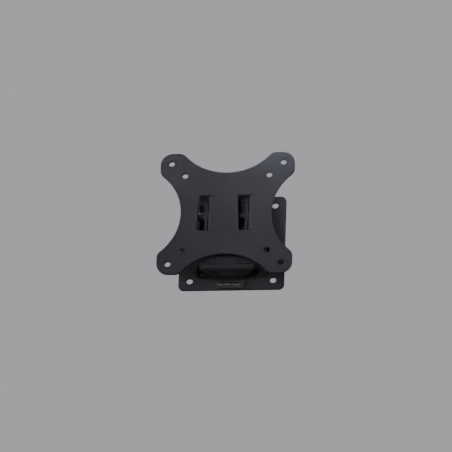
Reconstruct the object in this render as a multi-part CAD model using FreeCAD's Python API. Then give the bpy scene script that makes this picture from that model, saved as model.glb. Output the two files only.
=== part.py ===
import FreeCAD, Part
import math
import os

# Monitor wall mount that tilts and turns. Millimetres, +Z up, the wall is the plane y = 0 and the
# screen side faces -Y. The origin is the centre of the wall plate's back face.

V = FreeCAD.Vector

# Wall plate
wall_width = 95.0
wall_height = 93.0
wall_thick = 2.5
wall_corner = 5.0
wall_hole_pitch = 75.0
wall_hole_d = 5.8
edge_round = 0.4              # softened edge of the flat pressings

# Yoke on the wall plate
yoke_half_height = 30.0       # centre to the outer face of an ear
yoke_half_width = 31.0        # centre to the outer face of a side wall
yoke_thick = 2.5
yoke_ear_root = 40.0          # width of an ear where it leaves the tray
yoke_ear_straight = 9.0       # parallel stretch of an ear before it tapers
yoke_tip_radius = 9.0         # round end of an ear, about the turn axis
yoke_wall_height = 70.0       # height of a side wall
yoke_wall_depth = 14.0
yoke_wall_corner = 5.0
yoke_relief = 1.5             # notch beside an ear's fold
bend_inside = 1.0             # inside radius of every fold but the face plate's

# Yoke rivets
rivet_d = 4.0
rivet_head_d = 7.5
rivet_head_h = 1.7
rivet_spread_x = 27.0
rivet_spread_z = 30.0

# Turn hinge, an upright axis through x = 0
turn_axis_depth = 31.0        # from the wall to the turn axis
turn_bolt_d = 6.0
turn_head_d = 12.0
turn_head_h = 1.9
turn_neck = 6.0               # square neck under the head, which stops the bolt from turning
turn_spacer_d = 13.0
turn_washer_d = 12.5
turn_washer_h = 1.2
turn_nut_flats = 10.0
turn_nut_h = 6.0
bevel_angle = 30.0            # bevel on the corners of a hexagon
nut_flats_share = 0.72        # share of a lock nut's height that is six-sided
nut_collar_share = 0.94       # its collar's width against the width across flats
nut_collar_round = 0.6        # rounding of the collar against the collar's height
bolt_tail = 1.5               # bolt standing out past its nut
running_gap = 0.06            # radial clearance of a pin in the hole that turns on it
bore_gap = 0.15               # radial clearance of a pin in a hole that it is bolted into
slip_gap = 0.03               # radial clearance of a washer, spacer or nut on its own bolt

# Turn bracket
bracket_half_height = 45.5    # centre to the outer face of a flange
bracket_width = 52.0
bracket_thick = 2.5
bracket_corner = 3.0
bracket_web_gap = 0.5         # from the yoke's ear tips to the back of the web
flange_root = 48.0            # width of a flange where it leaves the web
flange_past_axis = 8.0        # from the turn axis to the round back edge of a flange
notch_corner = 1.5
notch_clear = 1.5             # web left out above and below an ear
pad_inner = 10.0              # centre to the inner edge of a pad pressed out of the web
pad_width = 12.0
pad_rise = 1.8
pad_end = 4.0                 # web left between a pad and a flange's outer face
pad_from_notch = 4.0          # web left between a pad and an ear's notch
pad_corner = 1.5
pad_wall = 1.6                # from a pad's outline to the hollow behind it

# Tilt hinge, a level axis along X
tilt_from_web = 9.5           # from the front of the web to the tilt axis
tilt_bolt_d = 5.0
tilt_head_flats = 8.0
tilt_head_h = 3.5
tilt_washer_d = 9.6
tilt_washer_h = 1.0
tilt_nut_flats = 8.0
tilt_nut_h = 5.0
friction_washer_d = 11.5
friction_washer_h = 0.8
tilt_ear_inner = 16.75        # centre to the inner face of a bracket ear
tilt_ear_height = 30.0
tilt_ear_corner = 5.0
tilt_ear_past_axis = 4.7      # from the tilt axis to the front edge of a bracket ear

# Face plate
face_size = 120.0
face_thick = 2.5
face_waist = 80.6             # across the plate between two opposite bays
face_bay_radius = 50.0
face_bay_blend = 8.0          # round where a bay runs out into a lobe
face_lobe_radius = 11.0
tilt_to_front = 9.5           # from the tilt axis to the front of the face plate
face_hole_d = 5.4
face_hole_pitches = (75.0, 100.0)
slot_width = 13.0
slot_height = 35.0
slot_corner = 1.5
slot_lean = 0.9               # how far the free edge leans out at the bottom and in at the top
face_bend = 1.5               # inside radius of a face plate ear's fold
face_ear_height = 34.0
face_ear_corner = 5.0
face_ear_past_axis = 5.0      # from the tilt axis to the back edge of a face plate ear

# Bubble level
level_length = 27.0
level_height = 8.0
level_proud = 2.5
level_edge = 0.8
level_above_edge = 0.8        # from the wall plate's lower edge to the holder
level_rim = 1.1               # holder left round the plate's cut-out
level_fit = 0.1
vial_d = 3.6
vial_length = 20.0
vial_shift = -2.0             # from the plate's middle to the vial's
vial_wall = 0.5
vial_plug = 4.5               # thick sealed end of the vial, at its right
vial_window = 3.2             # height of the opening that shows the vial
vial_proud = 0.6              # from the wall plate's front to the vial's axis
fluid_gap = 0.03              # between the fluid and the inside of the vial
bubble_length = 6.0
bubble_d = 1.9
bubble_film = 0.1             # fluid left above the bubble

# Planes that the sizes above lead to
wall_front = -wall_thick
yoke_front = wall_front - yoke_thick
turn_y = -turn_axis_depth
web_back = turn_y - yoke_tip_radius - bracket_web_gap
web_front = web_back - bracket_thick
tilt_y = web_front - tilt_from_web
face_front = tilt_y - tilt_to_front
face_back = face_front + face_thick
tilt_ear_outer = tilt_ear_inner + bracket_thick
hinge_pitch = tilt_ear_inner + tilt_ear_outer   # the left tilt pivot is the right one, this far across
face_ear_inner = tilt_ear_outer + friction_washer_h
face_ear_outer = face_ear_inner + face_thick
bracket_bend_x = tilt_ear_inner - bend_inside
face_bend_x = face_ear_outer + face_bend
level_z = -wall_height / 2 + level_above_edge + level_height / 2
touch = 1e-4                  # points nearer than this are the same point
sides = {"left": -1, "right": 1}
ends = {"upper": 1, "lower": -1}
hinge_shifts = {"left": -hinge_pitch, "right": 0.0}


def rounded_wire(points, radii):
    """Closed flat wire through the points, each corner rounded by its own radius (0 keeps it sharp)."""
    count = len(points)
    edges = []
    starts = []
    finishes = []
    for i in range(count):
        corner = points[i]
        before = (points[i - 1] - corner).normalize()
        after = (points[(i + 1) % count] - corner).normalize()
        half = before.getAngle(after) / 2
        reach = radii[i] / math.tan(half)
        starts.append(corner + before * reach)
        finishes.append(corner + after * reach)
        if radii[i] > 0:
            inward = (before + after).normalize()
            middle = corner + inward * (radii[i] / math.sin(half) - radii[i])
            edges.append(Part.Arc(starts[i], middle, finishes[i]).toShape())
    for i in range(count):
        start = finishes[i]
        finish = starts[(i + 1) % count]
        if start.distanceToPoint(finish) > touch:
            edges.append(Part.LineSegment(start, finish).toShape())
    return Part.Wire(Part.__sortEdges__(edges))


def prism(wire, along):
    """Solid made by drawing a closed flat wire out along a vector."""
    return Part.Face(wire).extrude(along)


def rounded_block(x_range, z_range, corner, y_range):
    """Block with its four corners rounded as seen from the front."""
    y = min(y_range)
    points = [V(x_range[0], y, z_range[0]), V(x_range[1], y, z_range[0]),
              V(x_range[1], y, z_range[1]), V(x_range[0], y, z_range[1])]
    return prism(rounded_wire(points, [corner] * 4), V(0, max(y_range) - y, 0))


def rod(diameter, start, finish):
    """Cylinder between two points."""
    axis = finish - start
    return Part.makeCylinder(diameter / 2, axis.Length, start, axis)


def ring(outer_d, inner_d, start, finish):
    """Flat washer or spacer between two points on its axis."""
    return rod(outer_d, start, finish).cut(rod(inner_d, start, finish))


def cap(diameter, height, seat, away):
    """Low domed head: the part of a ball that stands out from its seat."""
    ball = ((diameter / 2) ** 2 + height ** 2) / (2 * height)
    dome = Part.makeSphere(ball, seat - away * (ball - height))
    return dome.common(rod(2 * ball, seat, seat + away * (2 * height)))


def hexagon(across_flats, start, finish):
    """Six-sided bar between two points, its corners bevelled at both ends."""
    axis = finish - start
    height = axis.Length
    corner = across_flats / math.sqrt(3)
    points = [V(corner * math.cos(math.radians(60 * i)), corner * math.sin(math.radians(60 * i)), 0)
              for i in range(6)]
    bar = Part.Face(Part.makePolygon(points + points[:1])).extrude(V(0, 0, height))
    bevel = corner - across_flats / 2
    drop = bevel * math.tan(math.radians(bevel_angle))
    profile = [V(0, 0, 0), V(corner - bevel, 0, 0), V(corner, 0, drop),
               V(corner, 0, height - drop), V(corner - bevel, 0, height), V(0, 0, height)]
    turned = Part.Face(Part.makePolygon(profile + profile[:1])).revolve(V(0, 0, 0), V(0, 0, 1), 360)
    bar = bar.common(turned)
    bar.Placement = FreeCAD.Placement(start, FreeCAD.Rotation(V(0, 0, 1), axis))
    return bar


def soften(plate, y_plane, folds=()):
    """Rounds a flat pressing's edges in one plane, apart from upright edges at the x of a fold."""
    picked = []
    for edge in plate.Edges:
        box = edge.BoundBox
        folded = any(abs(box.XMin - x) < touch and abs(box.XMax - x) < touch for x in folds)
        if abs(box.YMin - y_plane) < touch and abs(box.YMax - y_plane) < touch and not folded:
            picked.append(edge)
    return plate.makeFillet(edge_round, picked)


def channel(width_points, thick, along):
    """Folded U section: the outer face's four corner points, drawn out along a vector.

    The section runs down one leg, along the web and up the other leg, with its folds rounded.
    """
    tip_a, corner_a, corner_b, tip_b = width_points
    leg = (tip_a - corner_a).normalize()
    web = (corner_b - corner_a).normalize()
    inner_a = corner_a + (leg + web) * thick
    inner_b = corner_b + (leg - web) * thick
    outline = [tip_a, corner_a, corner_b, tip_b, tip_b - web * thick, inner_b, inner_a, tip_a + web * thick]
    outer = bend_inside + thick
    radii = [0, outer, outer, 0, 0, bend_inside, bend_inside, 0]
    return prism(rounded_wire(outline, radii), along)


def folded_ear(out, bend_x, bend, fold_y, tip_y, thick, height, corner):
    """Ear of a sheet, folded a quarter turn about an upright line at bend_x, with bend as inside radius.

    fold_y is the face of the sheet that the ear turns towards, and tip_y is the ear's free edge. The
    folded ear lies to the right of the line where out is 1, and to its left where out is -1.
    """
    direction = math.copysign(1, tip_y - fold_y)
    centre_y = fold_y + direction * bend
    reach = bend + thick
    bottom = V(bend_x, centre_y, -height / 2)
    curve = ring(2 * reach, 2 * bend, bottom, bottom + V(0, 0, height))
    quarter = Part.makeBox(reach, reach, height)
    quarter.translate(V(bend_x - (reach if out < 0 else 0),
                        centre_y - (reach if direction > 0 else 0), -height / 2))
    x_near = bend_x + out * bend
    points = [V(x_near, centre_y, -height / 2), V(x_near, tip_y, -height / 2),
              V(x_near, tip_y, height / 2), V(x_near, centre_y, height / 2)]
    leg = prism(rounded_wire(points, [0, corner, corner, 0]), V(out * thick, 0, 0))
    return curve.common(quarter).fuse(leg)


def face_outline():
    """Outline of the X-shaped plate: four round lobes with a hollow bay on each side between them."""
    half = face_size / 2
    bay_centre = face_waist / 2 + face_bay_radius
    rise = bay_centre - half + face_bay_blend
    blend_x = math.sqrt((face_bay_radius + face_bay_blend) ** 2 - rise ** 2)
    share = face_bay_radius / (face_bay_radius + face_bay_blend)
    bay_end = V(blend_x * share, 0, bay_centre - rise * share)
    blend_centre = V(blend_x, 0, half - face_bay_blend)
    lean = (V(-blend_x, 0, rise).normalize() + V(0, 0, 1)).normalize()
    lobe_centre = V(half - face_lobe_radius, 0, half - face_lobe_radius)
    diagonal = V(1, 0, 1).normalize()

    def quarter_edges():
        """One side's bay and the lobe at its right, seen from the front."""
        mirrored = V(-bay_end.x, 0, bay_end.z)
        flat_start = V(blend_x, 0, half)
        flat_end = V(lobe_centre.x, 0, half)
        side_start = V(half, 0, lobe_centre.z)
        side_end = V(half, 0, blend_x)
        turned_centre = V(blend_centre.z, 0, blend_centre.x)
        turned_lean = V(lean.z, 0, lean.x)
        turned_end = V(bay_end.z, 0, bay_end.x)
        return [Part.Arc(mirrored, V(0, 0, face_waist / 2), bay_end).toShape(),
                Part.Arc(bay_end, blend_centre + lean * face_bay_blend, flat_start).toShape(),
                Part.LineSegment(flat_start, flat_end).toShape(),
                Part.Arc(flat_end, lobe_centre + diagonal * face_lobe_radius, side_start).toShape(),
                Part.LineSegment(side_start, side_end).toShape(),
                Part.Arc(side_end, turned_centre + turned_lean * face_bay_blend, turned_end).toShape()]

    edges = []
    for turn in range(4):
        for edge in quarter_edges():
            edge.rotate(V(0, 0, 0), V(0, 1, 0), 90 * turn)
            edges.append(edge)
    return Part.Wire(Part.__sortEdges__(edges))


def square_of_points(pitch, y):
    """The four corners of a square of holes, centred on the Y axis."""
    half = pitch / 2
    return [V(x, y, z) for x in (-half, half) for z in (-half, half)]


def drill_square(plate, pitch, diameter, y_front, y_back):
    """Cuts a square of four round holes through a plate."""
    for point in square_of_points(pitch, y_front):
        plate = plate.cut(rod(diameter, point, V(point.x, y_back, point.z)))
    return plate


def stadium(length, height, y_range, centre_z):
    """Round-ended block, long way along X."""
    end = height / 2
    back = V(0, max(y_range), centre_z)
    front = V(0, min(y_range), centre_z)
    block = rounded_block((end - length / 2, length / 2 - end), (centre_z - end, centre_z + end), 0, y_range)
    for shift in (V(end - length / 2, 0, 0), V(length / 2 - end, 0, 0)):
        block = block.fuse(rod(height, front + shift, back + shift))
    return block.removeSplitter()


def make_wall_plate():
    half_w = wall_width / 2
    half_h = wall_height / 2
    plate = rounded_block((-half_w, half_w), (-half_h, half_h), wall_corner, (wall_front, 0))
    plate = soften(plate, 0)
    plate = drill_square(plate, wall_hole_pitch, wall_hole_d, wall_front, 0)
    plate = soften(plate, wall_front)
    for point in rivet_points():
        plate = plate.cut(rod(rivet_d + 2 * bore_gap, V(point.x, wall_front, point.z), point))
    cutout = stadium(level_length - 2 * level_rim, level_height - 2 * level_rim, (wall_front, 0), level_z)
    return plate.cut(cutout)


def rivet_points():
    """Rivet places at the wall plate's back face."""
    return [V(sx * rivet_spread_x / 2, 0, sz * rivet_spread_z / 2) for sx in (-1, 1) for sz in (1, -1)]


def make_wall_yoke():
    ear_end = turn_y - yoke_tip_radius
    half_h = yoke_half_height
    ears = channel([V(-yoke_ear_root / 2, ear_end, half_h), V(-yoke_ear_root / 2, wall_front, half_h),
                    V(-yoke_ear_root / 2, wall_front, -half_h), V(-yoke_ear_root / 2, ear_end, -half_h)],
                   yoke_thick, V(yoke_ear_root, 0, 0))
    ears = ears.common(yoke_ear_shape())
    half_w = yoke_half_width
    wall_end = wall_front - yoke_wall_depth
    low = -yoke_wall_height / 2
    walls = channel([V(-half_w, wall_end, low), V(-half_w, wall_front, low),
                     V(half_w, wall_front, low), V(half_w, wall_end, low)],
                    yoke_thick, V(0, 0, yoke_wall_height))
    corners = [V(-half_w, wall_front, low), V(-half_w, wall_end, low),
               V(-half_w, wall_end, -low), V(-half_w, wall_front, -low)]
    radii = [0, yoke_wall_corner, yoke_wall_corner, 0]
    walls = walls.common(prism(rounded_wire(corners, radii), V(2 * half_w, 0, 0)))
    notch_x = yoke_ear_root / 2 + yoke_relief
    notch_z = half_h - yoke_thick - bend_inside
    for sign in ends.values():
        z_range = sorted((sign * notch_z, sign * yoke_wall_height))
        walls = walls.cut(rounded_block((-notch_x, notch_x), z_range, 0, (yoke_front, wall_front)))
    yoke = ears.fuse(walls).removeSplitter()
    for sign in ends.values():
        outer = V(0, turn_y, sign * half_h)
        inner = V(0, turn_y, sign * (half_h - yoke_thick))
        yoke = yoke.cut(rod(turn_bolt_d + 2 * running_gap, outer, inner))
    for point in rivet_points():
        start = V(point.x, wall_front, point.z)
        yoke = yoke.cut(rod(rivet_d + 2 * bore_gap, start, V(point.x, yoke_front, point.z)))
    return yoke


def yoke_ear_shape():
    """Plan of an ear drawn out upwards: parallel at the tray, then tapering to a round end."""
    half = yoke_ear_root / 2
    shoulder_y = yoke_front - yoke_ear_straight
    low = -yoke_half_height
    shoulder = V(half, shoulder_y, low)
    centre = V(0, turn_y, low)
    back = shoulder - centre
    swing = math.acos(yoke_tip_radius / back.Length)
    angle = math.atan2(back.y, back.x) - swing
    meet = centre + V(math.cos(angle), math.sin(angle), 0) * yoke_tip_radius
    mirrored = V(-meet.x, meet.y, low)
    tip = centre - V(0, yoke_tip_radius, 0)
    corners = [mirrored, V(-half, shoulder_y, low), V(-half, wall_front, low), V(half, wall_front, low),
               shoulder, meet]
    edges = [Part.LineSegment(a, b).toShape() for a, b in zip(corners, corners[1:])]
    edges.append(Part.Arc(meet, tip, mirrored).toShape())
    return prism(Part.Wire(Part.__sortEdges__(edges)), V(0, 0, 2 * yoke_half_height))


def make_rivet(point):
    """Flush at the wall, with a low round head inside the tray."""
    seat = V(point.x, yoke_front, point.z)
    shank = rod(rivet_d, point, seat)
    return shank.fuse(cap(rivet_head_d, rivet_head_h, seat, V(0, -1, 0)))


def make_turn_bracket():
    half_h = bracket_half_height
    flange_end = turn_y + flange_past_axis
    half_root = flange_root / 2
    strip = channel([V(-half_root, flange_end, half_h), V(-half_root, web_front, half_h),
                     V(-half_root, web_front, -half_h), V(-half_root, flange_end, -half_h)],
                    bracket_thick, V(flange_root, 0, 0))
    strip = strip.common(flange_shape())
    flat_end = half_h - bracket_thick - bend_inside
    half_w = bracket_width / 2
    web = rounded_block((-half_w, half_w), (-flat_end, flat_end), bracket_corner, (web_front, web_back))
    bracket = strip.fuse(web).removeSplitter()
    ear_room = tilt_ear_height / 2 + notch_clear
    for side in sides.values():
        x_range = sorted((side * bracket_bend_x, side * bracket_width))
        notch = rounded_block(x_range, (-ear_room, ear_room), notch_corner, (web_front, web_back))
        bracket = bracket.cut(notch)
        for sign in ends.values():
            bracket = press_pad(bracket, side, sign, ear_room)
        ear = folded_ear(side, side * bracket_bend_x, bend_inside, web_front, tilt_y - tilt_ear_past_axis,
                         bracket_thick, tilt_ear_height, tilt_ear_corner)
        bracket = bracket.fuse(ear)
        hole_start = V(side * tilt_ear_inner, tilt_y, 0)
        hole_end = V(side * tilt_ear_outer, tilt_y, 0)
        bracket = bracket.cut(rod(tilt_bolt_d + 2 * running_gap, hole_start, hole_end))
    hole = turn_neck / 2 + bore_gap
    for sign in ends.values():
        z_range = sorted((sign * half_h, sign * (half_h - bracket_thick)))
        bracket = bracket.cut(rounded_block((-hole, hole), z_range, 0, (turn_y - hole, turn_y + hole)))
    return bracket.removeSplitter()


def press_pad(bracket, side, sign, ear_room):
    """Stiffening pad pressed forward out of the web, with the hollow that it leaves behind."""
    x_range = sorted((side * pad_inner, side * (pad_inner + pad_width)))
    z_range = sorted((sign * (ear_room + pad_from_notch), sign * (bracket_half_height - pad_end)))
    pad = rounded_block(x_range, z_range, pad_corner, (web_front - pad_rise, web_front))
    inner_x = (x_range[0] + pad_wall, x_range[1] - pad_wall)
    inner_z = (z_range[0] + pad_wall, z_range[1] - pad_wall)
    hollow = rounded_block(inner_x, inner_z, pad_corner, (web_back - pad_rise, web_back))
    return bracket.fuse(pad).cut(hollow)


def flange_shape():
    """Plan of a flange drawn out upwards: straight at the web and one round sweep behind it."""
    half = flange_root / 2
    low = -bracket_half_height
    root_y = web_back + bend_inside
    corners = [V(-half, root_y, low), V(-half, web_front, low), V(half, web_front, low), V(half, root_y, low)]
    edges = [Part.LineSegment(a, b).toShape() for a, b in zip(corners, corners[1:])]
    back = V(0, turn_y + flange_past_axis, low)
    edges.append(Part.Arc(corners[-1], back, corners[0]).toShape())
    return prism(Part.Wire(edges), V(0, 0, 2 * bracket_half_height))


def make_face_plate():
    outline = face_outline()
    outline.translate(V(0, face_front, 0))
    plate = prism(outline, V(0, face_thick, 0))
    plate = soften(plate, face_back)
    for pitch in face_hole_pitches:
        plate = drill_square(plate, pitch, face_hole_d, face_front, face_back)
    for name, shift in hinge_shifts.items():
        plate = plate.cut(face_slot(face_bend_x + shift, sides[name]))
    plate = soften(plate, face_front, [face_bend_x + shift for shift in hinge_shifts.values()])
    for shift in hinge_shifts.values():
        ear = folded_ear(-1, face_bend_x + shift, face_bend, face_back, tilt_y + face_ear_past_axis,
                         face_thick, face_ear_height, face_ear_corner)
        plate = plate.fuse(ear)
        hole_start = V(face_ear_inner + shift, tilt_y, 0)
        hole_end = V(face_ear_outer + shift, tilt_y, 0)
        plate = plate.cut(rod(tilt_bolt_d + 2 * bore_gap, hole_start, hole_end))
    return plate.removeSplitter()


def face_slot(fold_x, side):
    """Slot that a face plate ear is cut from: square corners at the fold, and a leaning free edge."""
    half_h = slot_height / 2
    free = fold_x - slot_width
    lean = side * slot_lean
    corners = [(fold_x, -half_h), (fold_x, half_h), (free - lean, half_h), (free + lean, -half_h)]
    points = [V(x, face_front, z) for x, z in corners]
    return prism(rounded_wire(points, [0, 0, slot_corner, slot_corner]), V(0, face_thick, 0))


def lock_nut(across_flats, height, bore, seat, away):
    """Hexagon nut with a round collar that holds a locking ring on the side away from its seat."""
    flats_h = height * nut_flats_share
    shoulder = seat + away * flats_h
    nut = hexagon(across_flats, seat, shoulder)
    end = seat + away * height
    collar = rod(across_flats * nut_collar_share, shoulder, end)
    top = [edge for edge in collar.Edges if edge.CenterOfMass.distanceToPoint(end) < touch]
    collar = collar.makeFillet((height - flats_h) * nut_collar_round, top)
    return nut.fuse(collar).cut(rod(bore, seat, end)).removeSplitter()


def make_turn_hardware(end, sign):
    """Bolt, spacer, washer and nut of one turn pivot, from the flange's outer face inwards."""
    inward = V(0, 0, -sign)
    head_seat = V(0, turn_y, sign * bracket_half_height)
    spacer_start = head_seat + inward * bracket_thick
    spacer_end = V(0, turn_y, sign * yoke_half_height)
    washer_start = spacer_end + inward * yoke_thick
    nut_seat = washer_start + inward * turn_washer_h
    tail = nut_seat + inward * (turn_nut_h + bolt_tail)
    neck = rounded_block((-turn_neck / 2, turn_neck / 2), sorted((head_seat.z, spacer_start.z)), 0,
                         (turn_y - turn_neck / 2, turn_y + turn_neck / 2))
    head = cap(turn_head_d, turn_head_h, head_seat, inward * -1)
    bore = turn_bolt_d + 2 * slip_gap
    return {
        f"turn_bolt_{end}": head.fuse([neck, rod(turn_bolt_d, head_seat, tail)]).removeSplitter(),
        f"turn_spacer_{end}": ring(turn_spacer_d, bore, spacer_start, spacer_end),
        f"turn_washer_{end}": ring(turn_washer_d, bore, washer_start, nut_seat),
        f"turn_nut_{end}": lock_nut(turn_nut_flats, turn_nut_h, bore, nut_seat, inward),
    }


def make_tilt_hardware(name, shift):
    """Bolt, washers and nut of one tilt pivot, from the face plate's ear to the left."""
    leftward = V(-1, 0, 0)
    head_seat = V(face_ear_outer + shift, tilt_y, 0)
    friction_start = V(face_ear_inner + shift, tilt_y, 0)
    friction_end = V(tilt_ear_outer + shift, tilt_y, 0)
    washer_start = V(tilt_ear_inner + shift, tilt_y, 0)
    nut_seat = washer_start + leftward * tilt_washer_h
    tail = nut_seat + leftward * (tilt_nut_h + bolt_tail)
    head = hexagon(tilt_head_flats, head_seat, head_seat - leftward * tilt_head_h)
    bore = tilt_bolt_d + 2 * slip_gap
    return {
        f"tilt_bolt_{name}": head.fuse(rod(tilt_bolt_d, head_seat, tail)).removeSplitter(),
        f"tilt_friction_washer_{name}": ring(friction_washer_d, bore, friction_start, friction_end),
        f"tilt_washer_{name}": ring(tilt_washer_d, bore, washer_start, nut_seat),
        f"tilt_nut_{name}": lock_nut(tilt_nut_flats, tilt_nut_h, bore, nut_seat, leftward),
    }


def make_level():
    """Holder that plugs into the wall plate, the sealed vial in it and the fluid round its bubble."""
    axis_y = wall_front - vial_proud
    bezel = stadium(level_length, level_height, (wall_front - level_proud, wall_front), level_z)
    front = wall_front - level_proud
    rim = [edge for edge in bezel.Edges if edge.BoundBox.YMax < front + touch]
    bezel = bezel.makeFillet(level_edge, rim)
    plug_trim = 2 * (level_rim + level_fit)
    plug = stadium(level_length - plug_trim, level_height - plug_trim, (wall_front, -level_fit), level_z)
    holder = bezel.fuse(plug)
    left = V(vial_shift - vial_length / 2, axis_y, level_z)
    right = left + V(vial_length, 0, 0)
    fit = V(level_fit, 0, 0)
    bed = rod(vial_d + 2 * level_fit, left - fit, right + fit)
    opening = stadium(vial_length, vial_window, (front, axis_y), level_z)
    opening.translate(V(vial_shift, 0, 0))
    holder = holder.cut(bed).cut(opening).removeSplitter()
    vial = rod(vial_d, left, right)
    vial = vial.makeFillet(vial_wall, vial.Edges)
    fluid_left = left + V(vial_wall, 0, 0)
    fluid_right = right - V(vial_plug, 0, 0)
    vial = vial.cut(rod(vial_d - 2 * vial_wall, fluid_left, fluid_right))
    gap = V(fluid_gap, 0, 0)
    fluid = rod(vial_d - 2 * vial_wall - 2 * fluid_gap, fluid_left + gap, fluid_right - gap)
    bubble_z = level_z + vial_d / 2 - vial_wall - fluid_gap - bubble_film - bubble_d / 2
    middle = V((fluid_left.x + fluid_right.x) / 2, axis_y, bubble_z)
    half_run = V((bubble_length - bubble_d) / 2, 0, 0)
    start = middle - half_run
    finish = middle + half_run
    bubble = rod(bubble_d, start, finish)
    bubble = bubble.fuse([Part.makeSphere(bubble_d / 2, start), Part.makeSphere(bubble_d / 2, finish)])
    return {"level_holder": holder, "level_vial": vial, "level_fluid": fluid.cut(bubble.removeSplitter())}


def make_parts():
    """Every piece of the mount, by name."""
    parts = {
        "wall_plate": make_wall_plate(),
        "wall_yoke": make_wall_yoke(),
        "turn_bracket": make_turn_bracket(),
        "face_plate": make_face_plate(),
    }
    names = ("upper_left", "lower_left", "upper_right", "lower_right")
    for name, point in zip(names, rivet_points()):
        parts[f"yoke_rivet_{name}"] = make_rivet(point)
    parts.update(make_level())
    for end, sign in ends.items():
        parts.update(make_turn_hardware(end, sign))
    for name, shift in hinge_shifts.items():
        parts.update(make_tilt_hardware(name, shift))
    return parts


os.makedirs("parts", exist_ok=True)
for node, shape in make_parts().items():
    shape.exportStep(f"parts/{node}.step")
    print(node, shape.isValid(), len(shape.Solids), round(shape.Volume, 1))
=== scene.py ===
import math

import bmesh
import bpy
import numpy as np
from mathutils import Matrix, Vector


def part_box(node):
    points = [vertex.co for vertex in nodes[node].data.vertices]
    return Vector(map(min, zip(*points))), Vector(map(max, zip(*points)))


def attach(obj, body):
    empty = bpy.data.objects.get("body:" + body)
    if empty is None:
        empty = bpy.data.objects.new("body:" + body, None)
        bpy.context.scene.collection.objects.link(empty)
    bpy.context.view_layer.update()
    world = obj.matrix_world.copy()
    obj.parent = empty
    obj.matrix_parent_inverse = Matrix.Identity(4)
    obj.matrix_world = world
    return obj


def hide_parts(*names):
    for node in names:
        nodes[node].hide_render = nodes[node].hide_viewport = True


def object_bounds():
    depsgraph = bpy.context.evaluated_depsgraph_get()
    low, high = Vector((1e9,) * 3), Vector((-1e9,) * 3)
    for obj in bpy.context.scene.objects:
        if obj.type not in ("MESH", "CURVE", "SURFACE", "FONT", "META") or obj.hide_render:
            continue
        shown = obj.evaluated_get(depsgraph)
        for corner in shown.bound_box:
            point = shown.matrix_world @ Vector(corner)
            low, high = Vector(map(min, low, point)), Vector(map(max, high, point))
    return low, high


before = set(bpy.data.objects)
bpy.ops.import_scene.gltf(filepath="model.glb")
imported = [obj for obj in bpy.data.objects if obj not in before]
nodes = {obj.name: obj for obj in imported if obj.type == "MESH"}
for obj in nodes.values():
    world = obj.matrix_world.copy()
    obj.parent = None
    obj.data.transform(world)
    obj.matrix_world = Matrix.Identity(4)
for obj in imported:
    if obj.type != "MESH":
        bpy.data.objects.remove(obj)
cad_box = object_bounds()
box_centre = (cad_box[0] + cad_box[1]) / 2

# Looks of a steel wall mount that tilts and turns. Metres, +Z up, the wall is the plane y = 0 and the
# screen side faces -Y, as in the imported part.

MM = 0.001
FULL_TURN = 2 * math.pi

# The photograph: its size in pixels, and the camera that it was taken with
PHOTO_SIZE = 452
FOCAL_PIXELS = 3889
PIXELS_PER_MM = 1.1219
CAMERA_AZIMUTH = 6.8
CAMERA_ELEVATION = -27.26
CAMERA_ROLL = 2.14
CENTRE_PIXEL = (229.34, 228.59)   # where the middle of the part's box falls
SENSOR_MM = 36.0
CLIP_NEAR = 0.1
CLIP_FAR = 100.0

# Linear colours of the finishes
COAT_COLOUR = (0.0200, 0.0203, 0.0238, 1)
COAT_PALE = (0.0268, 0.0271, 0.0318, 1)
ZINC_DARK = (0.030, 0.030, 0.034, 1)
ZINC_LIGHT = (0.085, 0.085, 0.093, 1)
NYLON_COLOUR = (0.020, 0.020, 0.021, 1)
INSERT_COLOUR = (0.045, 0.047, 0.052, 1)
HOLDER_COLOUR = (0.022, 0.022, 0.023, 1)
FLUID_COLOUR = (0.045, 0.42, 0.16, 1)
VIAL_COLOUR = (0.72, 0.78, 0.74, 1)
MARK_COLOUR = (0.006, 0.006, 0.006, 1)

# Shared textures. Scales are noise cells to the metre, and a range is the part of a noise that is
# stretched over 0 to 1.
PEBBLE_INPUTS = {"Grain": 2200.0, "Cloud": 45.0}
BEAD_RANGE = (0.42, 0.72)
SPECK_SCALE = 900.0
SPECK_RANGE = (0.35, 0.65)
CLOUD_RANGE = (0.3, 0.7)
CLOUD_SHARE = 0.75            # share of the mottle that is slow cloud; the rest is specks
PLATING_INPUTS = {"Blotch": 260.0, "Scratch": 900.0}
BLOTCH_RANGE = (0.32, 0.68)
SCRATCH_RANGE = (0.3, 0.7)
SCRATCH_STRETCH = (1.0, 1.0, 0.12)

# Values of the finishes. Roughness goes from the first value to the second as the texture's mask rises,
# relief is a bump's depth, and strength is how much of it shows.
COAT_SPECULAR = 0.32
COAT_IOR = 1.5
COAT_GRAIN = 2400.0
COAT_CLOUD = 38.0
COAT_ROUGHNESS = (0.74, 0.62)
COAT_RELIEF = 0.04 * MM
COAT_STRENGTH = 0.45
ZINC_BLOTCH = 300.0
ZINC_SCRATCH = 1400.0
ZINC_ROUGHNESS = (0.34, 0.52)
ZINC_RELIEF = 0.01 * MM
ZINC_STRENGTH = 0.35
PLASTIC_IOR = 1.49
PLASTIC_CLOUD = 120.0
PLASTIC_UNEVEN = 0.06         # roughness either side of its mean
PLASTIC_RELIEF = 0.02 * MM
PLASTIC_STRENGTH = 0.3
CLEAR_SPECULAR = 0.12
CLEAR_GRAIN = 600.0
CLEAR_CLOUD = 200.0
CLEAR_UNEVEN = 0.04           # roughness added where the mask is full

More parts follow.
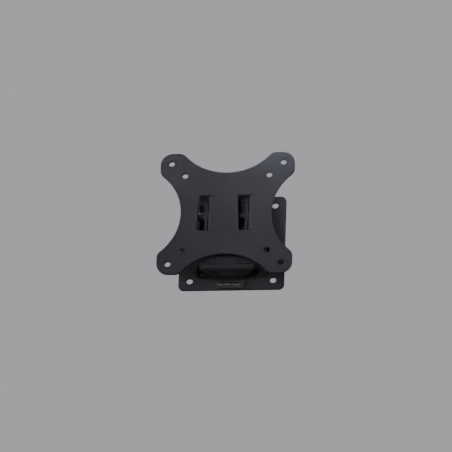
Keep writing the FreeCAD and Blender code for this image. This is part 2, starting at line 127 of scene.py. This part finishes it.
# Fasteners
TURN_PITCH = 1.0 * MM
TILT_PITCH = 0.8 * MM
THREAD_DEPTH_SHARE = 0.6      # depth of a thread against its pitch
THREAD_STEPS = 8              # rows of the surface along one pitch
ROUND_STEPS = 72              # columns of the surface round an axis
SMOOTH_BELOW = 28             # edges that turn by more degrees than this are drawn sharp
TURN_BOLT_RADIUS = 3.0 * MM
TILT_BOLT_RADIUS = 2.5 * MM
CUP_RIM = 0.4 * MM            # upright rim below a cup head's dome
DOME_STEPS = 10
DOME_TIP = 0.02               # first row of a dome, so that it has no pinched point
SQUARE_SIDES = 4
HEX_SIDES = 6
HEX_BEVEL = 30                # degrees of the bevel that turns off a hexagon's corners
HEX_BEVEL_STEPS = 6
INSERT_WIDTH = 1.0 * MM       # nylon ring in a lock nut, from the bolt outwards
INSERT_PROUD = 0.15 * MM
INSERT_STEPS = 16

# Coated sheets
SHEET_ROUND = 0.3 * MM        # rounding of a cut edge under its coat
SHEET_ROUND_STEPS = 2
SHEET_SHARP = 50              # edges that turn by more degrees than this are rounded
MERGE_WITHIN = 0.002 * MM     # points closer than this are one
FLAT_WITHIN = 0.2             # faces that turn by fewer degrees than this are one

# Level marks
MARK_WIDTH = 0.5 * MM
MARK_SKIN = 0.02 * MM
MARK_SPREAD = 7.4 * MM        # from one mark to the other

# Stage
FLOOR_Z = -1.9
FLOOR_SIZE = 14.0
FLOOR_COLOUR = (0.62, 0.62, 0.62, 1)
FLOOR_ROUGHNESS = 0.8
FLOOR_GLOW = 0.97             # share of the sky's brightness that the floor shows, none of it on the part
SKY_COLOUR = (0.413, 0.399, 0.421, 1)
SKY_AS_LIGHT = 0.104          # share of the sky's brightness that falls on the part
WHITE = (1.0, 1.0, 1.0)
LIGHTS = (
    # name, place, aim or None for the middle, width, power in watts, spread in degrees, colour
    ("left", (-1.43, -0.70, 0.29), None, 0.6, 2.3, 80, WHITE),
    ("below", (-0.38, -1.46, -0.60), None, 0.6, 1.65, 80, WHITE),
    ("above", (-0.28, -1.07, 1.19), None, 0.6, 0.75, 80, (0.96, 0.97, 1.0)),
    ("pool_front", (0.01, -1.17, -0.37), (0.07, -0.062, 0.08), 0.25, 0.165, 16, WHITE),
    ("pool_right", (0.71, -0.97, -0.37), (0.07, -0.062, 0.08), 0.25, 0.10, 16, WHITE),
    ("near_right", (0.15, -0.22, 0.31), (0.02, -0.062, 0.02), 0.15, 0.035, 120, (0.85, 0.88, 1.0)),
    ("pool_lobe", (0.57, -0.80, 0.06), (0.062, -0.062, 0.068), 0.06, 0.032, 6, (0.75, 0.80, 1.0)),
    ("pool_left", (-0.45, -0.95, 0.25), (-0.066, -0.062, 0.068), 0.06, 0.012, 6, WHITE),
    ("behind", (-0.6, 1.3, 0.9), None, 1.0, 8.0, 100, WHITE),
    ("side", (1.5, 0.3, 0.5), None, 0.9, 1.5, 90, WHITE),
)


def add_object(name, data):
    """New object in the scene."""
    added = bpy.data.objects.new(name, data)
    bpy.context.scene.collection.objects.link(added)
    return added


def new_group(name, inputs, outputs):
    """Empty shader node group with named float inputs and outputs; returns the group and its two ends."""
    group = bpy.data.node_groups.new(name, "ShaderNodeTree")
    for title, value in inputs.items():
        socket = group.interface.new_socket(title, in_out="INPUT", socket_type="NodeSocketFloat")
        socket.default_value = value
    for title in outputs:
        group.interface.new_socket(title, in_out="OUTPUT", socket_type="NodeSocketFloat")
    return group, group.nodes.new("NodeGroupInput"), group.nodes.new("NodeGroupOutput")


def noise(group, coordinates, scale, detail=2.0, roughness=0.5):
    """Noise texture on the object's own coordinates; scale is a number or a socket that gives it."""
    node = group.nodes.new("ShaderNodeTexNoise")
    node.inputs["Detail"].default_value = detail
    node.inputs["Roughness"].default_value = roughness
    group.links.new(coordinates, node.inputs["Vector"])
    if isinstance(scale, (int, float)):
        node.inputs["Scale"].default_value = scale
    else:
        group.links.new(scale, node.inputs["Scale"])
    return node.outputs["Fac"]


def spread(group, value, low, high, to_low=0.0, to_high=1.0):
    """Stretches a value from one range to another and holds it there."""
    node = group.nodes.new("ShaderNodeMapRange")
    node.inputs["From Min"].default_value = low
    node.inputs["From Max"].default_value = high
    node.inputs["To Min"].default_value = to_low
    node.inputs["To Max"].default_value = to_high
    group.links.new(value, node.inputs["Value"])
    return node.outputs["Result"]


def sums(group, operation, first, second):
    """One arithmetic step on two sockets or numbers."""
    node = group.nodes.new("ShaderNodeMath")
    node.operation = operation
    for value, socket in zip((first, second), node.inputs):
        if isinstance(value, (int, float)):
            socket.default_value = value
        else:
            group.links.new(value, socket)
    return node.outputs["Value"]


def make_grain_group():
    """Fine pebbled skin of a baked powder coat or a moulded plastic.

    Height is noise at the grain's size, flattened at the bottom so that it reads as beads on a film.
    Mottle is a slow cloudiness some tens of millimetres across with fine specks, for gloss and shade.
    """
    group, start, end = new_group("pebble_grain", PEBBLE_INPUTS, ("Height", "Mottle"))
    place = group.nodes.new("ShaderNodeTexCoord").outputs["Object"]
    fine = noise(group, place, start.outputs["Grain"], detail=3.0, roughness=0.6)
    beads = spread(group, fine, *BEAD_RANGE)
    cloud = noise(group, place, start.outputs["Cloud"], detail=4.0, roughness=0.55)
    specks = spread(group, noise(group, place, SPECK_SCALE, detail=1.0), *SPECK_RANGE)
    slow = spread(group, cloud, *CLOUD_RANGE)
    slow_part = sums(group, "MULTIPLY", slow, CLOUD_SHARE)
    speck_part = sums(group, "MULTIPLY", specks, 1 - CLOUD_SHARE)
    group.links.new(beads, end.inputs["Height"])
    group.links.new(sums(group, "ADD", slow_part, speck_part), end.inputs["Mottle"])
    return group


def make_plating_group():
    """Plated steel: short drawn scratches one way, and blotches where the plating is thinner."""
    group, start, end = new_group("plating", PLATING_INPUTS, ("Blotch", "Scratch"))
    place = group.nodes.new("ShaderNodeTexCoord").outputs["Object"]
    stretch = group.nodes.new("ShaderNodeMapping")
    stretch.inputs["Scale"].default_value = SCRATCH_STRETCH
    group.links.new(place, stretch.inputs["Vector"])
    lines = noise(group, stretch.outputs["Vector"], start.outputs["Scratch"], detail=4.0, roughness=0.7)
    blotch = noise(group, place, start.outputs["Blotch"], detail=3.0)
    group.links.new(spread(group, blotch, *BLOTCH_RANGE), end.inputs["Blotch"])
    group.links.new(spread(group, lines, *SCRATCH_RANGE), end.inputs["Scratch"])
    return group


GRAIN = make_grain_group()
PLATING = make_plating_group()


class Finish:
    """A material with its Principled shader, and short ways to feed it."""

    def __init__(self, name, **sockets):
        self.material = bpy.data.materials.new(name)
        self.material.use_nodes = True
        self.tree = self.material.node_tree
        self.nodes = self.tree.nodes
        self.shader = self.nodes["Principled BSDF"]
        for title, value in sockets.items():
            self.shader.inputs[title.replace("_", " ")].default_value = value

    def place(self, group, **values):
        """Puts a shared group in this material with its own values."""
        node = self.nodes.new("ShaderNodeGroup")
        node.node_tree = group
        for title, value in values.items():
            node.inputs[title].default_value = value
        return node.outputs

    def colour(self, mask, low, high):
        """Base colour between two colours by a mask."""
        ramp = self.nodes.new("ShaderNodeValToRGB")
        ramp.color_ramp.elements[0].color = low
        ramp.color_ramp.elements[1].color = high
        self.tree.links.new(mask, ramp.inputs["Fac"])
        self.tree.links.new(ramp.outputs["Color"], self.shader.inputs["Base Color"])

    def roughness(self, mask, low, high):
        """Roughness between two values by a mask."""
        self.tree.links.new(spread(self.tree, mask, 0.0, 1.0, low, high), self.shader.inputs["Roughness"])

    def bump(self, height, distance, strength):
        """Relief of the given depth in metres."""
        node = self.nodes.new("ShaderNodeBump")
        node.inputs["Distance"].default_value = distance
        node.inputs["Strength"].default_value = strength
        self.tree.links.new(height, node.inputs["Height"])
        self.tree.links.new(node.outputs["Normal"], self.shader.inputs["Normal"])


def powder_coat():
    """Satin black powder coat: a fine pebble, a slow change of gloss."""
    finish = Finish("powder_coat", Specular_IOR_Level=COAT_SPECULAR, IOR=COAT_IOR)
    grain = finish.place(GRAIN, Grain=COAT_GRAIN, Cloud=COAT_CLOUD)
    finish.colour(grain["Mottle"], COAT_COLOUR, COAT_PALE)
    finish.roughness(grain["Mottle"], *COAT_ROUGHNESS)
    finish.bump(grain["Height"], COAT_RELIEF, COAT_STRENGTH)
    return finish.material


def black_zinc():
    """Black zinc plating on the tilt bolts, nuts, washers and rivets."""
    finish = Finish("black_zinc", Metallic=1.0)
    plating = finish.place(PLATING, Blotch=ZINC_BLOTCH, Scratch=ZINC_SCRATCH)
    finish.colour(plating["Blotch"], ZINC_DARK, ZINC_LIGHT)
    finish.roughness(plating["Scratch"], *ZINC_ROUGHNESS)
    finish.bump(plating["Scratch"], ZINC_RELIEF, ZINC_STRENGTH)
    return finish.material


def moulded(name, colour, lift, rough, grain_size):
    """Moulded plastic or paint with a fine grain; lift is how many times lighter its pale spots are."""
    finish = Finish(name, IOR=PLASTIC_IOR)
    grain = finish.place(GRAIN, Grain=grain_size, Cloud=PLASTIC_CLOUD)
    pale = tuple(value * lift for value in colour[:3]) + (1,)
    finish.colour(grain["Mottle"], colour, pale)
    finish.roughness(grain["Mottle"], rough + PLASTIC_UNEVEN, rough - PLASTIC_UNEVEN)
    finish.bump(grain["Height"], PLASTIC_RELIEF, PLASTIC_STRENGTH)
    return finish.material


def clear(name, colour, ior, rough, through):
    """Clear acrylic or tinted fluid that lets a share of the light through, uneven in its gloss."""
    finish = Finish(name, Transmission_Weight=through, IOR=ior, Specular_IOR_Level=CLEAR_SPECULAR,
                    Base_Color=colour)
    grain = finish.place(GRAIN, Grain=CLEAR_GRAIN, Cloud=CLEAR_CLOUD)
    finish.roughness(grain["Mottle"], rough, rough + CLEAR_UNEVEN)
    return finish.material


def dress(material, *names):
    """Gives CAD nodes their finish."""
    for name in names:
        mesh = nodes[name].data
        mesh.materials.clear()
        mesh.materials.append(material)


def coated_sheet(node, body, material, rounded=True):
    """Folded sheet with its cut edges rounded by the coat: a merged copy of the CAD node, bevelled.

    Only edges sharper than SHEET_SHARP are rounded, so folds and round corners keep their own curve. The
    face plate's edges are rounded in the solid, so its copy is only merged and shaded smooth.
    """
    mesh = nodes[node].data.copy()
    work = bmesh.new()
    work.from_mesh(mesh)
    bmesh.ops.remove_doubles(work, verts=work.verts, dist=MERGE_WITHIN)
    flat = math.radians(FLAT_WITHIN)
    bmesh.ops.dissolve_limit(work, verts=work.verts, edges=work.edges, angle_limit=flat)
    work.to_mesh(mesh)
    work.free()
    mesh.materials.clear()
    mesh.materials.append(material)
    mesh.shade_smooth()
    mesh.set_sharp_from_angle(angle=math.radians(SHEET_SHARP))
    piece = add_object(f"{node}_coated", mesh)
    if rounded:
        rounding = piece.modifiers.new("rounding", "BEVEL")
        rounding.limit_method = "ANGLE"
        rounding.angle_limit = math.radians(SHEET_SHARP)
        rounding.width = SHEET_ROUND
        rounding.segments = SHEET_ROUND_STEPS
        rounding.use_clamp_overlap = False
        rounding.harden_normals = True
    facing = piece.modifiers.new("facing", "WEIGHTED_NORMAL")
    facing.keep_sharp = True
    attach(piece, body)
    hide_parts(node)


def surface_object(name, points, faces, material, body):
    """New piece from an array of points and a list of faces, riding on a body."""
    mesh = bpy.data.meshes.new(name)
    mesh.from_pydata(points.tolist(), [], faces)
    mesh.validate()
    mesh.materials.append(material)
    piece = add_object(name, mesh)
    mesh.shade_smooth()
    mesh.set_sharp_from_angle(angle=math.radians(SMOOTH_BELOW))
    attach(piece, body)
    return piece


def grid_faces(rows, columns, closed_rows=False):
    """Four-sided faces of a grid of points that closes round its columns, and round its rows if told to."""
    row = np.arange(rows if closed_rows else rows - 1)[:, None]
    column = np.arange(columns)[None, :]
    after = (row + 1) % rows
    beside = (column + 1) % columns
    corners = [row * columns + column, row * columns + beside,
               after * columns + beside, after * columns + column]
    return np.stack(corners, axis=-1).reshape(-1, len(corners))


def ring_angles():
    """Angles of the columns round an axis."""
    return np.linspace(0, FULL_TURN, ROUND_STEPS, endpoint=False)


def turned(along, radius, start, axis):
    """Surface round an axis: row i lies at along[i] from start and stands radius[i, j] out at angle j.

    Point = start + axis * along + radius * (cos angle * u + sin angle * v), where u is the Y direction,
    which every axis here is square to, and v is square to both. Radius may change with the angle, which
    gives hexagons, squares and threads.
    """
    axis = np.asarray(axis, float)
    u = np.array([0.0, 1.0, 0.0])
    v = np.cross(axis, u)
    angle = ring_angles()
    radius = np.broadcast_to(radius, (len(along), ROUND_STEPS))
    out = np.cos(angle)[:, None] * u + np.sin(angle)[:, None] * v
    points = np.asarray(start) + np.asarray(along)[:, None, None] * axis + radius[:, :, None] * out
    return points.reshape(-1, 3)


def thread_rows(length, radius, pitch):
    """Rows of an outside thread: a rounded wave that climbs one pitch in a turn.

    Radius = crest - depth * (1 - cos(2 pi * (along / pitch - angle / turn))) / 2, and the end runs down
    to the root, as a bolt's bevelled end does.
    """
    rows = int(round(length / pitch * THREAD_STEPS)) + 1
    along = np.linspace(0, length, rows)
    depth = THREAD_DEPTH_SHARE * pitch
    phase = FULL_TURN * (along[:, None] / pitch - ring_angles()[None, :] / FULL_TURN)
    wave = radius - depth * (1 - np.cos(phase)) / 2
    bevel = radius - np.clip(along - (length - depth), 0, depth)
    return along, np.minimum(wave, bevel[:, None])


def polygon_radius(sides, inner):
    """Distance from the axis to a regular polygon's sides at each column's angle."""
    step = FULL_TURN / sides
    return inner / np.cos((ring_angles() + step / 2) % step - step / 2)


def join_rows(blocks):
    """Stacks blocks of rows, each a list of places along the axis and the radius there."""
    along = np.concatenate([places for places, _ in blocks])
    radius = np.concatenate([np.broadcast_to(out, (len(places), ROUND_STEPS)) for places, out in blocks])
    return along, radius


def closed_ring(name, profile, start, axis, material, body):
    """Ring with a closed section: profile rows are (along, radius) and run once round the section."""
    profile = np.asarray(profile)
    points = turned(profile[:, 0], profile[:, 1][:, None], start, axis)
    faces = grid_faces(len(profile), ROUND_STEPS, closed_rows=True)
    surface_object(name, points, faces.tolist(), material, body)


def bar(name, blocks, start, axis, material, body):
    """Bolt-like bar from blocks of rows, each end closed by a round of triangles to a point on its axis."""
    along, radius = join_rows(blocks)
    points = turned(along, radius, start, axis)
    ends = np.asarray(start) + np.outer([along[0], along[-1]], axis)
    points = np.vstack([points, ends])
    column = np.arange(ROUND_STEPS)
    beside = (column + 1) % ROUND_STEPS
    last = (len(along) - 1) * ROUND_STEPS
    first_pole = len(along) * ROUND_STEPS
    head = np.stack([np.full_like(column, first_pole), beside, column], axis=1)
    tail = np.stack([np.full_like(column, first_pole + 1), last + column, last + beside], axis=1)
    faces = grid_faces(len(along), ROUND_STEPS).tolist() + head.tolist() + tail.tolist()
    return surface_object(name, points, faces, material, body)


def dome_rows(diameter, height):
    """Rows of a low ball cap: radius = sqrt(ball^2 - (ball - along)^2)."""
    ball = ((diameter / 2) ** 2 + height ** 2) / (2 * height)
    along = height * np.linspace(DOME_TIP, 1, DOME_STEPS) ** 2
    return along, np.sqrt(ball ** 2 - (ball - along) ** 2)[:, None]


def hexagon_rows(across_flats, height):
    """Rows of a hexagon bar whose corners are turned off at both ends by a bevel."""
    flats = across_flats / 2
    bevel = across_flats / math.sqrt(3) - flats
    drop = bevel * math.tan(math.radians(HEX_BEVEL))
    steps = np.linspace(0, drop, HEX_BEVEL_STEPS)
    along = np.concatenate([steps, height - steps[::-1]])
    from_end = np.minimum(along, height - along)
    cone = flats + bevel * np.minimum(from_end / drop, 1)
    return along, np.minimum(polygon_radius(HEX_SIDES, flats)[None, :], cone[:, None])


def make_turn_bolt(end, sign):
    """Cup-head bolt with a square neck and a thread under its nut, from its head inwards."""
    node = f"turn_bolt_{end}"
    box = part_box(node)
    low, high = box
    outer = 1 if sign > 0 else 0      # which of a box's two corners lies on the head's side
    top = box[outer].z
    head_h = abs(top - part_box("turn_bracket")[outer].z)
    neck_end = abs(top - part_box(f"turn_spacer_{end}")[outer].z)
    thread_from = abs(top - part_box(f"turn_nut_{end}")[outer].z)
    width = high.x - low.x
    cap = head_h - CUP_RIM
    along, threads = thread_rows(high.z - low.z - thread_from, TURN_BOLT_RADIUS, TURN_PITCH)
    blocks = [dome_rows(width, cap),
              ([cap, head_h], width / 2),
              ([head_h, neck_end], polygon_radius(SQUARE_SIDES, TURN_BOLT_RADIUS)),
              ([neck_end, thread_from], TURN_BOLT_RADIUS),
              (thread_from + along, threads)]
    start = (0.0, (low.y + high.y) / 2, top)
    piece = bar(f"cup_bolt_{end}", blocks, start, (0, 0, -sign), COAT, "turn_bracket")
    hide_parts(node)


def make_tilt_bolt(name):
    """Hexagon bolt with a thread under its nut, from its head to the left."""
    node = f"tilt_bolt_{name}"
    low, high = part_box(node)
    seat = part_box(f"tilt_nut_{name}")[1].x
    ear_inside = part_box(f"tilt_friction_washer_{name}")[1].x
    ear_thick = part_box("turn_bracket")[1].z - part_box("turn_spacer_upper")[1].z
    head_h = high.x - ear_inside - ear_thick
    thread_from = high.x - seat
    along, threads = thread_rows(seat - low.x, TILT_BOLT_RADIUS, TILT_PITCH)
    blocks = [hexagon_rows(high.y - low.y, head_h),
              ([head_h, thread_from], TILT_BOLT_RADIUS),
              (thread_from + along, threads)]
    start = (high.x, (low.y + high.y) / 2, (low.z + high.z) / 2)
    piece = bar(f"hex_bolt_{name}", blocks, start, (-1, 0, 0), ZINC, "face_plate")
    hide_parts(node)


def make_nut_insert(name, node, axis, bolt_radius, body):
    """Nylon locking ring in a nut's open end: a rounded lip round the bolt."""
    low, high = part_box(node)
    axis = np.asarray(axis, float)
    middle = np.array((low + high) / 2)
    half = abs(np.array(high - low) @ axis) / 2
    turn = np.linspace(0, FULL_TURN, INSERT_STEPS, endpoint=False)
    outward = bolt_radius + INSERT_WIDTH / 2 + INSERT_WIDTH / 2 * np.cos(turn)
    profile = np.stack([INSERT_PROUD * np.sin(turn), outward], axis=1)
    closed_ring(name, profile, middle + axis * half, axis, INSERT, body)


def make_level_mark(name, x):
    """Painted ring round the vial that shows where the bubble stands when the plate is level."""
    low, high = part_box("level_vial")
    half = MARK_WIDTH / 2
    inside = (high.z - low.z) / 2 - MARK_SKIN
    outside = (high.z - low.z) / 2 + MARK_SKIN
    profile = [(-half, inside), (half, inside), (half, outside), (-half, outside)]
    start = (x, (low.y + high.y) / 2, (low.z + high.z) / 2)
    closed_ring(name, profile, start, (1, 0, 0), MARK, "wall_bracket")


ZINC = black_zinc()
INSERT = moulded("nylon_insert", INSERT_COLOUR, lift=1.15, rough=0.45, grain_size=2600.0)
MARK = moulded("mark_paint", MARK_COLOUR, lift=1.5, rough=0.4, grain_size=3000.0)
COAT = powder_coat()
NYLON = moulded("nylon", NYLON_COLOUR, lift=1.4, rough=0.5, grain_size=2600.0)
HOLDER = moulded("holder_plastic", HOLDER_COLOUR, lift=1.5, rough=0.42, grain_size=3200.0)
VIAL = clear("vial_acrylic", VIAL_COLOUR, ior=1.49, rough=0.28, through=0.98)
FLUID = clear("level_fluid", FLUID_COLOUR, ior=1.36, rough=0.03, through=0.75)

dress(COAT, "wall_plate", "wall_yoke", "turn_bracket", "face_plate", "turn_bolt_upper", "turn_bolt_lower")
coated_sheet("wall_yoke", "wall_bracket", COAT)
coated_sheet("turn_bracket", "turn_bracket", COAT)
coated_sheet("face_plate", "face_plate", COAT, rounded=False)
dress(ZINC, *[n for n in nodes if "rivet" in n or "_nut_" in n or "tilt_bolt" in n])
dress(ZINC, "turn_washer_upper", "turn_washer_lower", "tilt_washer_left", "tilt_washer_right")
dress(NYLON, "turn_spacer_upper", "turn_spacer_lower")
dress(NYLON, "tilt_friction_washer_left", "tilt_friction_washer_right")
dress(HOLDER, "level_holder")
dress(VIAL, "level_vial")
dress(FLUID, "level_fluid")
for end, sign in (("upper", 1), ("lower", -1)):
    make_turn_bolt(end, sign)
    make_nut_insert(f"turn_nut_insert_{end}", f"turn_nut_{end}", (0, 0, -sign), TURN_BOLT_RADIUS,
                    "turn_bracket")
fluid_low, fluid_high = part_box("level_fluid")
for name, side in (("left", -1), ("right", 1)):
    make_tilt_bolt(name)
    make_nut_insert(f"tilt_nut_insert_{name}", f"tilt_nut_{name}", (-1, 0, 0), TILT_BOLT_RADIUS,
                    "face_plate")
    make_level_mark(f"level_mark_{name}", (fluid_low.x + fluid_high.x + side * MARK_SPREAD) / 2)


def make_floor():
    """Pale floor far below the mount, which glows like the sky but throws no light on the part."""
    half = FLOOR_SIZE / 2
    corners = [(x, y, FLOOR_Z) for x, y in ((-half, -half), (half, -half), (half, half), (-half, half))]
    mesh = bpy.data.meshes.new("floor")
    mesh.from_pydata(corners, [], [(0, 1, 2, 3)])
    floor = add_object("floor", mesh)
    finish = Finish("floor", Base_Color=FLOOR_COLOUR, Roughness=FLOOR_ROUGHNESS,
                    Emission_Color=SKY_COLOUR, Emission_Strength=FLOOR_GLOW)
    mesh.materials.append(finish.material)
    floor.visible_diffuse = False
    floor.visible_glossy = False


def make_surroundings():
    """Pale sky that the camera sees in full, and that lights the part by a small share."""
    world = bpy.data.worlds.new("surroundings")
    bpy.context.scene.world = world
    world.use_nodes = True
    tree = world.node_tree
    seen = tree.nodes["Background"]
    seen.inputs["Color"].default_value = SKY_COLOUR
    shed = tree.nodes.new("ShaderNodeBackground")
    shed.inputs["Color"].default_value = SKY_COLOUR
    shed.inputs["Strength"].default_value = SKY_AS_LIGHT
    choice = tree.nodes.new("ShaderNodeMixShader")
    camera_ray = tree.nodes.new("ShaderNodeLightPath").outputs["Is Camera Ray"]
    tree.links.new(camera_ray, choice.inputs["Fac"])
    tree.links.new(shed.outputs["Background"], choice.inputs[1])
    tree.links.new(seen.outputs["Background"], choice.inputs[2])
    tree.links.new(choice.outputs["Shader"], tree.nodes["World Output"].inputs["Surface"])


def make_lights():
    """Soft round lights; those aimed at one spot are kept out of reflections and clear pieces."""
    for name, place, aim, size, power, spread_angle, colour in LIGHTS:
        lamp = bpy.data.lights.new(name, "AREA")
        lamp.shape = "DISK"
        lamp.size = size
        lamp.energy = power
        lamp.spread = math.radians(spread_angle)
        lamp.color = colour
        light = add_object(name, lamp)
        light.location = place
        towards = Vector(aim or box_centre) - Vector(place)
        light.rotation_euler = towards.to_track_quat("-Z", "Y").to_euler()
        light.visible_camera = False
        light.visible_glossy = aim is None
        light.visible_transmission = aim is None


def make_camera():
    """Long-lens camera below the mount, aimed so that the part's middle falls on the photograph's pixel."""
    azimuth = math.radians(CAMERA_AZIMUTH)
    elevation = math.radians(CAMERA_ELEVATION)
    back = Vector((math.sin(azimuth) * math.cos(elevation), -math.cos(azimuth) * math.cos(elevation),
                   math.sin(elevation)))
    right = Vector((math.cos(azimuth), math.sin(azimuth), 0))
    up = back.cross(right)
    roll = Matrix.Rotation(math.radians(CAMERA_ROLL), 3, back)
    right, up = roll @ right, roll @ up
    data = bpy.data.cameras.new("camera")
    data.sensor_width = SENSOR_MM
    data.lens = FOCAL_PIXELS / PHOTO_SIZE * SENSOR_MM
    data.clip_start = CLIP_NEAR
    data.clip_end = CLIP_FAR
    camera = add_object("camera", data)
    off_right = (PHOTO_SIZE / 2 - CENTRE_PIXEL[0]) / PIXELS_PER_MM * MM
    off_up = (CENTRE_PIXEL[1] - PHOTO_SIZE / 2) / PIXELS_PER_MM * MM
    aim = box_centre + right * off_right + up * off_up
    place = aim + back * (FOCAL_PIXELS / PIXELS_PER_MM * MM)
    axes = Matrix((right, up, back)).transposed().to_4x4()
    camera.matrix_world = Matrix.Translation(place) @ axes
    bpy.context.scene.camera = camera


make_floor()
make_surroundings()
make_lights()
make_camera()
